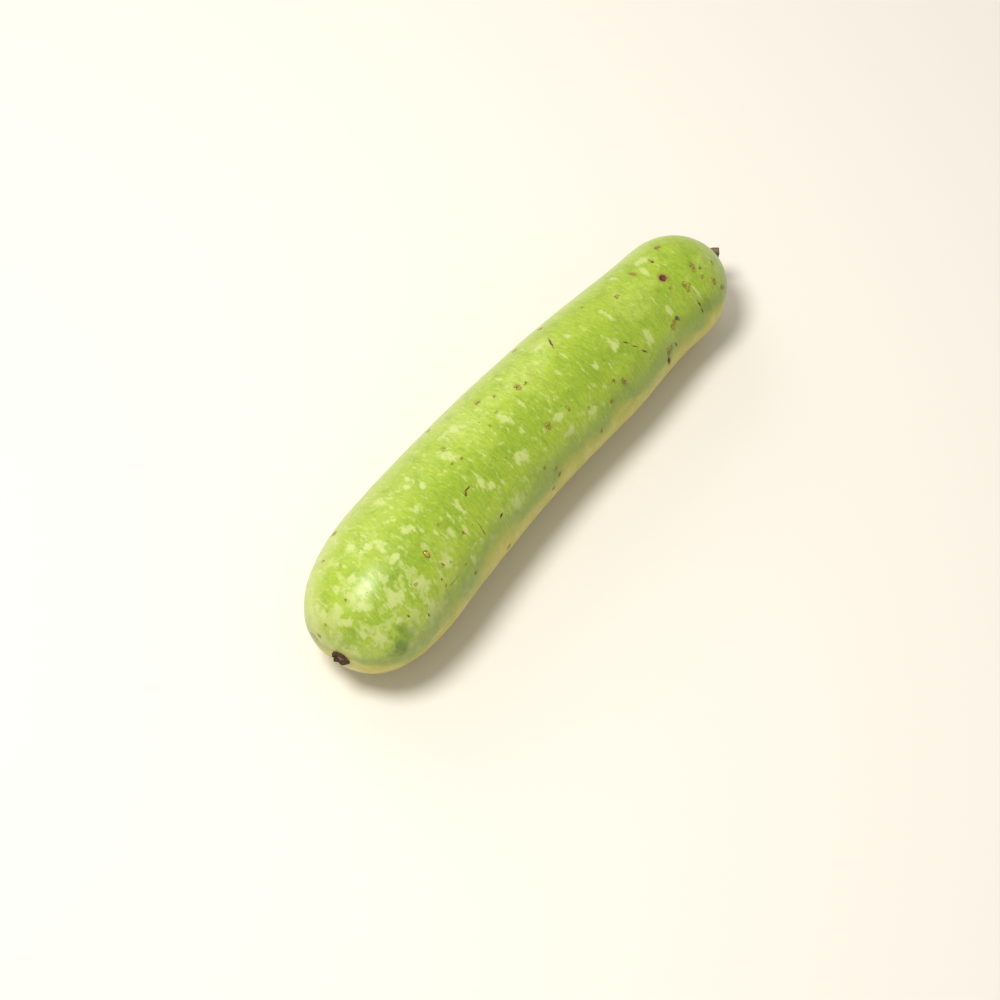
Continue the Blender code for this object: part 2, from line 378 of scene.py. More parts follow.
# %% Shape the lumps and pits
LUMPS = ((0.034, 0.8), (0.011, 0.20))
PITS = (
    (239, 97, 1.9, 2.1, 0, 1.0),
    (217, 168, 1.4, 2.8, 0, 0.5),
    (243.4, 75, 1.1, 1.8, 0, 0.4),
    (85, 111, 2.4, 0.9, 25, 0.3),
    (91, 146, 1.2, 0.9, 0, 0.35),
    (226, 141, 1.7, 2.1, 0, 0.2),
    (201, 125, 1.0, 3.4, -25, 0.2),
)
PIT_DEPTH = 1.3


def mark_distance(places):
    """How far each point of the rind is from the nearest place: 0 in its middle, 1 at its edge, at most 3."""
    points = points_of(rind)
    nearest = np.full(len(points), 3.0)
    for along, turn, half_length, half_round, *rest in places:
        middle, directions = skin_frame(along, turn, rest[0] if rest else 0)
        offsets = (points - np.array(middle)) @ np.array(directions) / MM
        shares = offsets / (half_length, half_round, half_length + half_round + 3)
        nearest = np.minimum(nearest, np.linalg.norm(shares, axis=1))
    return nearest


def push_out(piece, size, strength, group=""):
    """Moves the points of a piece out and in by a cloud pattern of this size, or straight with size 0."""
    make_active(piece)
    push = piece.modifiers.new("push", "DISPLACE")
    if size:
        push.texture = bpy.data.textures.new("clouds", "CLOUDS")
        push.texture.noise_scale = size
        push.texture_coords = "LOCAL"
    push.mid_level = 0.5 if size else 0
    push.strength = strength * MM
    push.vertex_group = group
    bpy.ops.object.modifier_apply(modifier=push.name)


def sink_pits():
    weights = np.zeros(len(rind.data.vertices))
    for *place, depth in PITS:
        bowl = np.clip(1 - mark_distance([place]) ** 2, 0, 1)
        weights = np.maximum(weights, bowl * depth)
    group = rind.vertex_groups.new(name="pits")
    for index in np.nonzero(weights)[0]:
        group.add([int(index)], float(weights[index]), "REPLACE")
    push_out(rind, 0, -PIT_DEPTH, "pits")
    rind.vertex_groups.clear()
    return np.count_nonzero(weights)


for size, strength in LUMPS:
    push_out(rind, size, strength)
print("points in the pits:", sink_pits())

# %% [markdown]
# ## The resting flat
# The fruit's own weight presses a long narrow flat under it. Every point below the floor is lifted to the
# floor by resizing the selection to nothing in height, with the floor as the centre.

# %% Press the flat
select_points(rind, lambda place: place.z < 0)
bpy.ops.transform.resize(value=(1, 1, 0), center_override=(0, 0, 0))
bpy.ops.object.mode_set(mode="OBJECT")
print("rind height in mm:", round(rind.dimensions.z / MM, 1))

# %% [markdown]
# ## Straightened places for the colours
# The stripes and dashes of the skin run around the fruit, so their pattern must bend with it. Each point
# of the rind is given its place on a straightened fruit: how far along it is, and where it stands from
# the middle line. It is stored as an attribute that the material reads.

# %% Store the straightened places
def store_numbers(piece, name, values):
    kind = "FLOAT" if values.ndim == 1 else "FLOAT_VECTOR"
    attribute = piece.data.attributes.new(name, kind, "POINT")
    field = "value" if values.ndim == 1 else "vector"
    attribute.data.foreach_set(field, values.astype(np.float32).ravel())


def straighten():
    points = points_of(rind)
    y, z = [curve(points[:, 0]) for curve in middle_curves]
    return np.stack([points[:, 0] - blossom_x, points[:, 1] - y, points[:, 2] - z], axis=1)


straight = straighten()
store_numbers(rind, "straight", straight)
print("straightened length in mm:", round(np.ptp(straight[:, 0]) / MM, 1))

# %% [markdown]
# ## Blotches that have their own place
# Most of the dappling is random, but each of the larger pale blotches, the deep green patches and the
# corky patches has its own place: mm along, degrees round, half its length along and half its length
# round in mm, and a tilt in degrees if it leans.

# %% Place the blotches
PALE_PLACES = (
    (7, 76, 3, 2.5), (5, 56, 2.5, 2), (6, 33, 2.4, 2), (1.6, 67, 2.6, 1.8), (5.6, 94, 2.2, 1.8),
    (5, 120, 1.8, 2.6), (8, 136, 3.2, 3.8), (22, 118, 3.6, 2.6), (26, 121, 2, 2), (35, 127, 4, 3.4),
    (35, 117, 1.8, 1.2), (33, 141, 2.2, 2.4), (20, 149, 1.8, 3.8), (18, 137, 2, 1.8), (34, 152, 2.2, 4),
    (17, 167, 2.4, 1.8), (21, 79, 1.8, 1.8), (14, 68, 1.8, 1.8), (7, 46, 1.8, 1.8), (13, 100, 2.6, 2.6),
    (0.6, 0, 1.8, 1.8), (33, 63, 1.8, 2.2), (59, 58, 2.2, 3), (63, 66, 0.8, 2), (71, 71, 1.2, 2),
    (75, 65, 1.2, 1.8), (75, 80, 1.3, 2), (35, 76, 3, 1.6), (40, 83, 1.8, 4, -20), (51, 93, 1.6, 2.6),
    (54, 97, 0.8, 2), (63, 89, 2, 2.2), (38, 99, 2.5, 1.6), (43, 100, 1, 1.8), (59, 112, 0.9, 2.6),
    (70, 112, 0.9, 3), (77, 115, 1.2, 3.2), (95, 79, 2.2, 4), (103, 62, 2, 2.6), (108, 65, 2.6, 2.2),
    (94, 116, 1.6, 4), (105, 103, 0.6, 3), (24, 119, 1.8, 3.6), (37, 120, 1.2, 1.2), (53, 133, 2.6, 2.4),
    (65, 122, 1.4, 2), (71, 130, 1, 2), (118, 125, 3, 2.6), (127, 92, 2, 3), (103, 150, 3, 3.6),
    (38, 157, 4, 1.8), (30, 160, 2, 2), (20, 175, 1.5, 2.4), (74, 147, 1.2, 2.6), (65, 152, 1, 3),
    (81, 154, 2, 1.6), (96, 122, 1.4, 2.4), (138, 92, 1, 2.6), (147, 123, 3, 2.8), (148, 140, 3.4, 1.4),
    (169, 63, 2.8, 2.2), (193, 112, 2.6, 2.6), (203, 88, 1.2, 3.4), (210, 130, 2.2, 3.6, 15),
    (241, 64, 2.8, 2.4), (236, 75, 1.2, 3), (163, 144, 2.2, 2.2), (229, 126, 1.4, 2.2), (248, 127, 0.9, 4),
    (178, 115, 1.2, 2), (171, 88, 0.8, 2.4), (182, 78, 1.1, 1.8), (144, 60, 0.8, 2.6), (225, 58, 0.8, 3),
)
DEEP_PLACES = (
    (17, 150, 5.5, 5), (13.5, 156, 5.5, 5), (11, 163, 4, 3.5), (31, 107, 3, 1.5), (250, 150, 4, 4),
)
CORK_PLACES = (
    (243, 71, 0.7, 0.9), (92, 87, 1.3, 0.7), (255, 107, 1.4, 1.8), (254, 112, 1, 1.3),
    (257.8, 114.5, 1, 1), (255.6, 123, 1, 1), (244.8, 117.5, 1.3, 1.9), (244.6, 124, 1, 1.6),
    (260.4, 135.5, 1.5, 1.9), (226, 141, 1.3, 1.9), (265.5, 151, 1.1, 1.4), (267, 119, 0.9, 1),
    (218, 159, 1.7, 2.4), (215, 80, 1.4, 1.2), (201, 62, 1, 0.9), (252, 65, 1.6, 1.8),
    (144, 80, 1.6, 2), (148, 83, 1.2, 1.2), (153, 124, 0.8, 2), (139, 123, 2, 1.8),
    (164, 166, 0.8, 1.4), (162, 137, 0.8, 1), (181, 136, 1.2, 1.2), (186, 143, 1.4, 1.9),
    (175, 149, 1.2, 1.2), (125, 147, 1.3, 0.8), (131, 157, 1.2, 1), (132, 166, 1.2, 1.4),
    (127, 175, 1.4, 1), (90, 182, 1.4, 1.8), (63, 163, 1, 1.4), (50, 132, 1.1, 1.2),
    (54, 136, 0.7, 0.8), (45, 139, 0.7, 1.3), (45, 145.5, 0.8, 0.7), (34.4, 125, 0.7, 0.9),
    (246.6, 121, 0.9, 1), (220.5, 157, 0.8, 1.2), (119, 88, 0.8, 0.7), (11.4, 157.6, 0.6, 0.7),
    (13.2, 165, 0.7, 0.7), (2.8, 57.5, 0.7, 0.8), (97, 72, 1.3, 1.1), (127, 62, 1.4, 1.6),
    (97, 90, 1.2, 0.7), (127, 83, 0.9, 0.8), (134, 71, 0.9, 1.4), (106, 37, 1.2, 1.8),
    (41, 31, 1.4, 2.6), (26, 39, 0.9, 1), (60, 148, 1, 0.7), (69, 129, 0.7, 1.4), (34, 125, 1, 1),
    (63, 110, 1, 0.7), (264, 149, 1.2, 1.4), (238, 110, 0.9, 0.9), (165, 40, 1.4, 1.6),
    (182, 41, 1.4, 1.6), (12, 82, 0.8, 0.9), (1.2, 20, 1.2, 1.2),
)

for name, places in (("pale", PALE_PLACES), ("deep", DEEP_PLACES), ("cork", CORK_PLACES)):
    store_numbers(rind, name, mark_distance(places))
    print(name, "places:", len(places))

# %% [markdown]
# ## Helpers for drawing a finish
# A material is a small machine of nodes. These helpers add one node each and join it up: a piece of
# arithmetic, a soft step between two numbers, a cloudy noise stretched to any shape, and a mix of colours.

# %% Node helpers
def new_finish(name, roughness):
    finish = bpy.data.materials.new(name)
    finish.use_nodes = True
    finish.node_tree.nodes["Principled BSDF"].inputs["Roughness"].default_value = roughness
    return finish


def node(finish, kind, inputs, **settings):
    """Adds a node. Each input is a number, a colour or the output of another node."""
    made = finish.node_tree.nodes.new(kind)
    for name, value in settings.items():
        setattr(made, name, value)
    for name, value in inputs.items():
        if isinstance(value, bpy.types.NodeSocket):
            finish.node_tree.links.new(value, made.inputs[name])
        else:
            made.inputs[name].default_value = value
    return made


def calculate(finish, operation, first, second=0.0):
    return node(finish, "ShaderNodeMath", {0: first, 1: second}, operation=operation).outputs[0]


def times(finish, *shares):
    total = shares[0]
    for share in shares[1:]:
        total = calculate(finish, "MULTIPLY", total, share)
    return total


def step(finish, value, start, end, low=0.0, high=1.0):
    """Low up to the start, high past the end, and a soft slope between them."""
    limits = {"Value": value, "From Min": start, "From Max": end, "To Min": low, "To Max": high}
    return node(finish, "ShaderNodeMapRange", limits, interpolation_type="SMOOTHSTEP").outputs["Result"]


def clouds(finish, place, per_metre, detail=2.0, shift=0.0, rough=0.5, swirl=0.0):
    """A noise that changes about this many times in a metre along each axis."""
    scaled = node(finish, "ShaderNodeMapping", {0: place, "Scale": per_metre, "Location": (shift,) * 3})
    look = {0: scaled.outputs[0], "Scale": 1, "Detail": detail, "Roughness": rough, "Distortion": swirl}
    return node(finish, "ShaderNodeTexNoise", look).outputs["Fac"]


def paint(finish, under, colour, share):
    """The colour laid over what is under it, where the share is 1."""
    colours = {0: share, 6: under, 7: colour}
    return node(finish, "ShaderNodeMix", colours, data_type="RGBA").outputs[2]


def shade(finish, colour, brightness):
    """The colour made brighter or darker by a number that changes over the surface."""
    grey = node(finish, "ShaderNodeCombineXYZ", {0: brightness, 1: brightness, 2: brightness}).outputs[0]
    return node(
        finish, "ShaderNodeMix", {0: 1.0, 6: colour, 7: grey}, data_type="RGBA", blend_type="MULTIPLY"
    ).outputs[2]


def raise_surface(finish, height, strength, distance):
    bump = node(finish, "ShaderNodeBump", {"Height": height, "Strength": strength, "Distance": distance})
    return bump.outputs["Normal"]


def plug_in(finish, **sockets):
    shader = finish.node_tree.nodes["Principled BSDF"]
    for name, value in sockets.items():
        finish.node_tree.links.new(value, shader.inputs[name.replace("_", " ")])


def read_numbers(finish, name, output="Fac"):
    return node(finish, "ShaderNodeAttribute", {}, attribute_name=name).outputs[output]


print("node helpers are ready")

# %% [markdown]
# ## The skin
# The skin of a bottle gourd is yellow-green, with fine dashes that run round the fruit, and pale dappling
# that is large and dense at the flower end and breaks up into short dashes towards the stalk. The underside
# is ochre, partly the real ground spot and partly painted warm bounce light and painted shade; a painted
# grey-green shade lies low on the sides, and the far side is painted paler as a reflection. The colours are
# laid on one over the other, like coats of paint: the ground green first, then the dapples, the ground spot
# with the painted light and shade, and the marks last.

# %% Green ground and dappling
GREEN = (0.335, 0.450, 0.026, 1)
DEEP_GREEN = (0.180, 0.305, 0.008, 1)
LIGHT_GREEN = (0.425, 0.525, 0.075, 1)
PALE_GREEN = (0.530, 0.590, 0.185, 1)
CROWN_WAY = (0, -0.31, 0.95)


def direction_from_middle(finish, spread):
    """The way out from the middle line at this point, as a vector of length 1 with no lengthwise part."""
    away = node(finish, "ShaderNodeVectorMath", {0: spread, 1: (0, 1, 1)}, operation="MULTIPLY").outputs[0]
    return node(finish, "ShaderNodeVectorMath", {0: away}, operation="NORMALIZE").outputs[0]


def paint_green(finish, spread, along, away):
    """The green ground with its soft clouds, its patches and its fine dashes round the fruit."""
    near_crown = node(finish, "ShaderNodeVectorMath", {0: away, 1: CROWN_WAY}, operation="DOT_PRODUCT")
    near_crown = near_crown.outputs["Value"]
    broad = clouds(finish, spread, (30, 45, 45), 3)
    colour = paint(finish, GREEN, LIGHT_GREEN, step(finish, broad, 0.46, 0.72, 0, 0.8))
    mottle = clouds(finish, spread, (190, 110, 110), 4, 3.1, 0.6, 0.4)
    colour = paint(finish, colour, DEEP_GREEN, step(finish, mottle, 0.48, 0.74, 0, 0.55))
    crown = times(finish, step(finish, near_crown, 0.90, 1.0), step(finish, broad, 0.35, 0.6, 1, 0.4))
    colour = paint(finish, colour, DEEP_GREEN, times(finish, crown, 0.42))
    dashes = clouds(finish, spread, (1000, 270, 270), 3, 5.3, 0.65)
    depth = step(finish, along, 0.0, 0.09, 0.4, 1.0)
    lift = times(finish, step(finish, dashes, 0.25, 0.75, -0.13, 0.13), depth)
    fine = clouds(finish, spread, (1500, 900, 900), 2, 6.6, 0.6)
    lift = calculate(finish, "ADD", lift, step(finish, fine, 0.25, 0.75, 0.92, 1.08))
    return shade(finish, colour, lift)


def paint_dapples(finish, colour, spread, along):
    """Pale blotches, large at the flower end and small dashes towards the stalk."""
    ragged = clouds(finish, spread, (330, 230, 230), 4, 2.2, 0.6)
    placed = calculate(finish, "ADD", read_numbers(finish, "pale"), step(finish, ragged, 0.3, 0.7, -0.7, 0.7))
    placed = step(finish, placed, 1.5, 0.45, 0, 0.85)
    large = clouds(finish, spread, (200, 125, 125), 4, 7.7, 0.6, 0.5)
    level = step(finish, along, 0.0, 0.10, 0.0, 0.13)
    level = calculate(finish, "ADD", level, step(finish, read_numbers(finish, "deep"), 1.4, 0.8, 0, 0.2))
    large = step(finish, calculate(finish, "SUBTRACT", large, level), 0.49, 0.63, 0, 0.62)
    small = clouds(finish, spread, (430, 215, 215), 3, 9.1, 0.55)
    level = step(finish, along, 0.10, 0.20, 0.0, 0.03)
    small = step(finish, calculate(finish, "SUBTRACT", small, level), 0.56, 0.70, 0, 0.65)
    colour = paint(finish, colour, PALE_GREEN, small)
    return paint(finish, colour, PALE_GREEN, calculate(finish, "MAXIMUM", placed, large))


print("greens:", DEEP_GREEN[:3], GREEN[:3], LIGHT_GREEN[:3], PALE_GREEN[:3])

# %% [markdown]
# The ochre underside, partly the ground spot and partly painted warm bounce light and painted shade, is found
# from the straightened place: its height over the middle line, as a share of the distance from that line, is
# low there. A little of the sideways share is added, so that it reaches higher on the near side. Darker green
# patches follow, and the skin is ochre around the scar too.

# %% Ground spot, painted bounce light and shade, and flower end
# Painted shade and light: PAINTED_SHADE_GREEN is painted shade low on the sides; YELLOW_GREEN_SPOT_AND_BOUNCE
# and OCHRE_SPOT_AND_BOUNCE are partly the real ground spot and partly painted warm bounce light and shade.
PAINTED_SHADE_GREEN = (0.190, 0.265, 0.030, 1)
YELLOW_GREEN_SPOT_AND_BOUNCE = (0.420, 0.430, 0.012, 1)
OCHRE_SPOT_AND_BOUNCE = (0.530, 0.450, 0.014, 1)
CREAM = (0.600, 0.550, 0.150, 1)
SCAR_OCHRE = (0.480, 0.440, 0.110, 1)
SCAR_CRACK = (0.20, 0.13, 0.03, 1)
PATCH_GREEN = (0.120, 0.225, 0.005, 1)


def paint_ground_spot_and_painted_light(finish, colour, spread, along, away):
    """Painted reflection on the far side, painted grey-green shade low down, and ochre under it, partly
    ground spot and partly painted warm bounce light and shade, with a cream spot where the fruit lay on the
    soil.
    """
    parts = node(finish, "ShaderNodeSeparateXYZ", {0: away}).outputs
    wander = step(finish, clouds(finish, spread, (60, 60, 60), 3, 4.4), 0.3, 0.7, -0.12, 0.12)
    # Painted reflection: the far side is painted paler, standing in for bright surroundings reflected at a
    # grazing angle.
    colour = paint(finish, colour, PALE_GREEN, step(finish, parts[1], 0.45, 0.95, 0, 0.45))
    low = calculate(finish, "ADD", parts[2], calculate(finish, "MULTIPLY", parts[1], 0.2))
    low = calculate(finish, "ADD", low, wander)
    low = calculate(finish, "ADD", low, step(finish, along, 0.0, 0.09, 0.28, -0.02))
    # Painted shade: grey-green low on the sides, then yellow-green and ochre underneath, partly ground spot
    # and partly painted warm bounce light.
    colour = paint(finish, colour, PAINTED_SHADE_GREEN, step(finish, low, 0.62, 0.15, 0, 0.55))
    colour = paint(finish, colour, YELLOW_GREEN_SPOT_AND_BOUNCE, step(finish, low, 0.15, -0.10, 0, 0.85))
    colour = paint(finish, colour, OCHRE_SPOT_AND_BOUNCE, step(finish, low, 0.0, -0.38, 0, 0.85))
    pale = clouds(finish, spread, (170, 110, 110), 4, 8.8, 0.65)
    mottled = step(finish, pale, 0.44, 0.66, 0, 0.55)
    spot = step(finish, low, -0.45, -0.95, 0, 0.9)
    pale = calculate(finish, "MAXIMUM", mottled, spot)
    return paint(finish, colour, CREAM, times(finish, pale, step(finish, low, 0.05, -0.2)))


def paint_deep_patches(finish, colour, spread, along):
    """Patches of darker green with cloudy edges."""
    edge = clouds(finish, spread, (260, 200, 200), 3, 1.7)
    patch = calculate(finish, "ADD", read_numbers(finish, "deep"), step(finish, edge, 0.3, 0.7, -0.45, 0.45))
    near_scar = step(finish, along, 0.018, 0.024, 0.92, 0.45)
    return paint(finish, colour, PATCH_GREEN, times(finish, step(finish, patch, 1.5, 0.3), near_scar))


def paint_flower_end(finish, colour, spread, away_from_scar):
    """Ochre skin around the scar with fine cracks that run out from it."""
    wander = step(finish, clouds(finish, spread, (180, 180, 180), 3, 6.4), 0.3, 0.7, -0.004, 0.004)
    near = calculate(finish, "ADD", away_from_scar, wander)
    colour = paint(finish, colour, SCAR_OCHRE, step(finish, near, 0.012, 0.003, 0, 0.85))
    rays = clouds(finish, spread, (40, 900, 900), 2, 8.2)
    cracks = times(finish, step(finish, rays, 0.62, 0.72), step(finish, near, 0.011, 0.003))
    return paint(finish, colour, SCAR_CRACK, times(finish, cracks, 0.5))


print("ground side:", PAINTED_SHADE_GREEN[:3], YELLOW_GREEN_SPOT_AND_BOUNCE[:3], OCHRE_SPOT_AND_BOUNCE[:3], CREAM[:3])

# %% [markdown]
# Marks come last: tiny random cork specks everywhere, then tan cork patches and amber and dark wounds,
# each at its own place. A mark with a crisp edge is drawn in the material itself. A Mapping node moves,
# turns and shrinks the space so that the mark becomes a ball of radius 1, and the distance from the ball's
# middle draws it. A mark is mm along, degrees round, its two half lengths in mm and a tilt in degrees.

# %% Specks, cork and wounds
CORK = (0.270, 0.150, 0.018, 1)
CORK_DARK = (0.150, 0.060, 0.008, 1)
DARK = (0.055, 0.036, 0.006, 1)
WOUND = (0.095, 0.003, 0.002, 1)
AMBER = (0.270, 0.190, 0.015, 1)
DARK_MARKS = (
    (243.4, 75, 0.7, 0.9, 0), (217, 169, 0.8, 2.2, 0), (246.2, 151, 0.4, 1.6, 0), (246, 142, 0.4, 1.3, 0),
    (224, 160, 0.4, 1.4, 10), (198.7, 118.5, 0.35, 1.2, 35), (201.6, 127, 0.2, 1.8, 40),
    (204.3, 136.5, 0.35, 1.7, 35), (84, 111.5, 1.0, 0.5, 30), (86.5, 109.5, 1.5, 0.35, 0),
    (91, 146, 1.0, 0.5, 20), (78.3, 137, 0.14, 2.2, 3), (78, 143, 0.18, 2.0, 0), (174, 70, 0.4, 3.2, -32),
    (50, 149, 3.5, 0.12, 0), (2.0, -5, 2.8, 0.28, 0), (29.8, 151.5, 0.3, 0.8, 0), (22, 137.5, 0.3, 0.9, 10),
)
AMBER_MARKS = ((231.6, 71, 1.1, 1.5, 0), (228.3, 138, 0.9, 1.0, 0))
WOUND_MARKS = ((239.4, 96.7, 1.8, 2.1, 20),)
MARK_REACH = 3
SPECKS = ((150, 0.60, 0.090), (330, 0.62, 0.15), (480, 0.60, 0.15))


def distance_to(finish, place, mark):
    """How far the surface is from the mark: 0 in the middle and 1 at its edge."""
    along, turn, half_length, half_round, tilt = mark
    middle, directions = skin_frame(along, turn, tilt)
    half_sizes = Vector((half_length, half_round, MARK_REACH)) * MM
    ball = {0: place, "Location": middle, "Rotation": directions.to_euler(), "Scale": half_sizes}
    moved = node(finish, "ShaderNodeMapping", ball, vector_type="TEXTURE").outputs[0]
    return node(finish, "ShaderNodeVectorMath", {0: moved}, operation="LENGTH").outputs["Value"]


def nearest_of(finish, place, marks):
    nearest = distance_to(finish, place, marks[0])
    for mark in marks[1:]:
        nearest = calculate(finish, "MINIMUM", nearest, distance_to(finish, place, mark))
    return nearest


def paint_specks(finish, colour, spread):
    """Cork specks under a millimetre across. A random number leaves most of the places empty."""
    for per_metre, left_empty, size in SPECKS:
        cells = node(finish, "ShaderNodeTexVoronoi", {0: spread, "Scale": per_metre})
        chosen = node(finish, "ShaderNodeSeparateColor", {0: cells.outputs["Color"]}).outputs
        inside = step(finish, cells.outputs["Distance"], size, size * 0.4)
        there = times(finish, inside, step(finish, chosen[0], left_empty, left_empty + 0.02), chosen[1])
        colour = paint(finish, colour, CORK, there)
    return colour


def paint_marks(finish, colour, spread):
    """Returns the colour with the marks on it, and where cork and wounds are, for the gloss and bump."""
    fray = clouds(finish, spread, (900, 900, 900), 3, 0.3, 0.65)
    fray_coarse = step(finish, fray, 0.3, 0.7, -0.7, 0.7)
    fray_fine = step(finish, fray, 0.3, 0.7, -0.35, 0.35)
    around_cork = read_numbers(finish, "cork")
    cork = step(finish, calculate(finish, "ADD", around_cork, fray_coarse), 1.15, 0.55)
    colour = paint(finish, colour, CORK, times(finish, cork, 0.6))
    crumbs = clouds(finish, spread, (1500, 1200, 1200), 2, 3.9, 0.6)
    crumbs = times(finish, step(finish, crumbs, 0.50, 0.58), step(finish, around_cork, 1.3, 0.8))
    colour = paint(finish, colour, CORK_DARK, times(finish, crumbs, 0.85))
    wounds = ((AMBER_MARKS, AMBER, 1.0), (DARK_MARKS, DARK, 1.2), (WOUND_MARKS, WOUND, 0.4))
    place = node(finish, "ShaderNodeTexCoord", {}).outputs["Object"]
    for marks, mark_colour, raggedness in wounds:
        nearest = nearest_of(finish, place, marks)
        away = calculate(finish, "ADD", nearest, times(finish, fray_fine, raggedness))
        colour = paint(finish, colour, CORK, step(finish, away, 1.9, 1.1, 0, 0.55))
        inside = step(finish, away, 1.15, 0.75)
        colour = paint(finish, colour, mark_colour, times(finish, inside, 0.92))
        cork = calculate(finish, "MAXIMUM", cork, inside)
    return colour, cork


print("marks:", len(DARK_MARKS), "dark,", len(AMBER_MARKS), "amber and", len(WOUND_MARKS), "red")

# %% [markdown]
# The skin has a soft shine that dulls on cork. A bump of broad waves and fine grain breaks the shine up. A
# bump is enough here, because the grain is far too small to show in the outline.

# %% Put the skin together
GRAIN_DEPTH = 0.25 * MM


def make_skin():
    finish = new_finish("gourd_skin", 0.4)
    spread = read_numbers(finish, "straight", "Vector")
    along = node(finish, "ShaderNodeSeparateXYZ", {0: spread}).outputs[0]
    scar_low, scar_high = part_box("blossom_scar")
    place = node(finish, "ShaderNodeTexCoord", {}).outputs["Object"]
    scar_middle = (scar_low + scar_high) / 2
    to_scar = node(finish, "ShaderNodeVectorMath", {0: place, 1: scar_middle}, operation="DISTANCE")
    away = direction_from_middle(finish, spread)
    colour = paint_green(finish, spread, along, away)
    colour = paint_dapples(finish, colour, spread, along)
    colour = paint_ground_spot_and_painted_light(finish, colour, spread, along, away)
    colour = paint_deep_patches(finish, colour, spread, along)
    colour = paint_flower_end(finish, colour, spread, to_scar.outputs["Value"])
    colour = paint_specks(finish, colour, spread)
    colour, cork = paint_marks(finish, colour, spread)
    fine = clouds(finish, spread, (1400, 700, 700), 3, 1.1, 0.6)
    waves = clouds(finish, spread, (420, 160, 160), 2, 2.9)
    height = calculate(finish, "ADD", times(finish, fine, 0.35), waves)
    height = calculate(finish, "ADD", height, times(finish, cork, fine, 2.0))
    dullness = calculate(finish, "ADD", step(finish, waves, 0.3, 0.7, 0.33, 0.41), times(finish, cork, 0.35))
    shader = finish.node_tree.nodes["Principled BSDF"]
    shader.inputs["Specular IOR Level"].default_value = 0.54
    shader.inputs["Sheen Weight"].default_value = 0.08
    shader.inputs["Sheen Roughness"].default_value = 0.4
    normal = raise_surface(finish, height, 0.35, GRAIN_DEPTH)
    plug_in(finish, Base_Color=colour, Roughness=dullness, Normal=normal)
    return finish


def dress(piece, finish, slot, *nodes):
    """Gives a piece its finish, lets it ride on the frame and stand for its CAD nodes."""
    piece.data.materials.clear()
    piece.data.materials.append(finish)
    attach(piece, "root")
    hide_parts(*nodes)


dress(rind, make_skin(), "skin", "fruit")
print("skin nodes:", len(bpy.data.materials["gourd_skin"].node_tree.nodes))

# %% [markdown]
# ## The stump of the stalk
# The stalk was cut a few millimetres above the fruit and has dried brown. It has five ribs, like the stalk
# of any gourd, and it leans over towards the near side. It is modelled straight, ring by ring on a ribbed
# outline, and then bent by a Curve modifier along a short guide, as a pipe cleaner is bent into shape. The
# foot and the cut face of the CAD stump give the two ends of the guide. A ring is a share of the length
# and a share of the flare at the foot.

# %% Model the stump
STUMP_POINTS = 30
STUMP_RIBS = 5
STUMP_SINK = 0.5
STUMP_RINGS = (
    (0.08, 1.0), (0.16, 0.55), (0.28, 0.30), (0.42, 0.16), (0.56, 0.08),
    (0.70, 0.03), (0.84, 0.0), (0.96, 0.0), (1, -0.1),
)
STUMP_LUMPS = ((0.0016, 0.35), (0.0005, 0.14))


def make_guide(start, leaving, end, arriving, reach):
    """A short curve from the foot of the stump to its cut face."""
    data = bpy.data.curves.new("stump_guide", "CURVE")
    data.dimensions = "3D"
    data.resolution_u = 32
    spline = data.splines.new("BEZIER")
    spline.bezier_points.add(1)
    for knot, place, way in zip(spline.bezier_points, (start, end), (leaving, arriving)):
        knot.handle_left_type = knot.handle_right_type = "FREE"
        knot.co = place
        knot.handle_left = place - way * reach
        knot.handle_right = place + way * reach
    guide = bpy.data.objects.new("stump_guide", data)
    bpy.context.scene.collection.objects.link(guide)
    return guide


def make_straight_stump(foot_radius, tip_radius, length):
    """A ribbed peg along X with a flared foot and a torn, hollow cut."""
    piece = start_ring("dried_stump", Vector(), 1, 1, STUMP_POINTS)
    bpy.ops.object.mode_set(mode="OBJECT")
    for rib in range(STUMP_POINTS):
        angle = 2 * math.pi * rib / STUMP_POINTS
        swell = 1 + 0.10 * math.cos(STUMP_RIBS * angle) + 0.03 * math.cos(3 * angle + 1)
        select_points(piece, lambda place: math.dist(place, piece.data.vertices[rib].co) < TOUCHING)
        bpy.ops.transform.resize(value=(1, swell, swell), center_override=(0, 0, 0))
        bpy.ops.object.mode_set(mode="OBJECT")
    make_active(piece)
    edit_all()
    bpy.ops.transform.resize(value=(1, foot_radius, foot_radius), center_override=(0, 0, 0))
    radius = foot_radius
    before = 0.0
    for share, flare in STUMP_RINGS:
        wanted = tip_radius + (foot_radius - tip_radius) * flare
        stretch = wanted / radius
        next_ring(((share - before) * length, 0, 0), (1, stretch, stretch), (share * length, 0, 0))
        radius, before = wanted, share
    next_ring((0, 0, 0), (1, 0.82, 0.82), (length, 0, 0))
    next_ring((-0.06 * length, 0, 0), (1, 0.80, 0.80), (0.94 * length, 0, 0))
    next_ring((-0.12 * length, 0, 0), (1, 0.55, 0.55), (0.82 * length, 0, 0))
    close_end((-0.01 * length, 0, 0))
    select_points(piece, lambda place: place.x < TOUCHING)
    close_end((0, 0, 0))
    end_edit()
    return piece


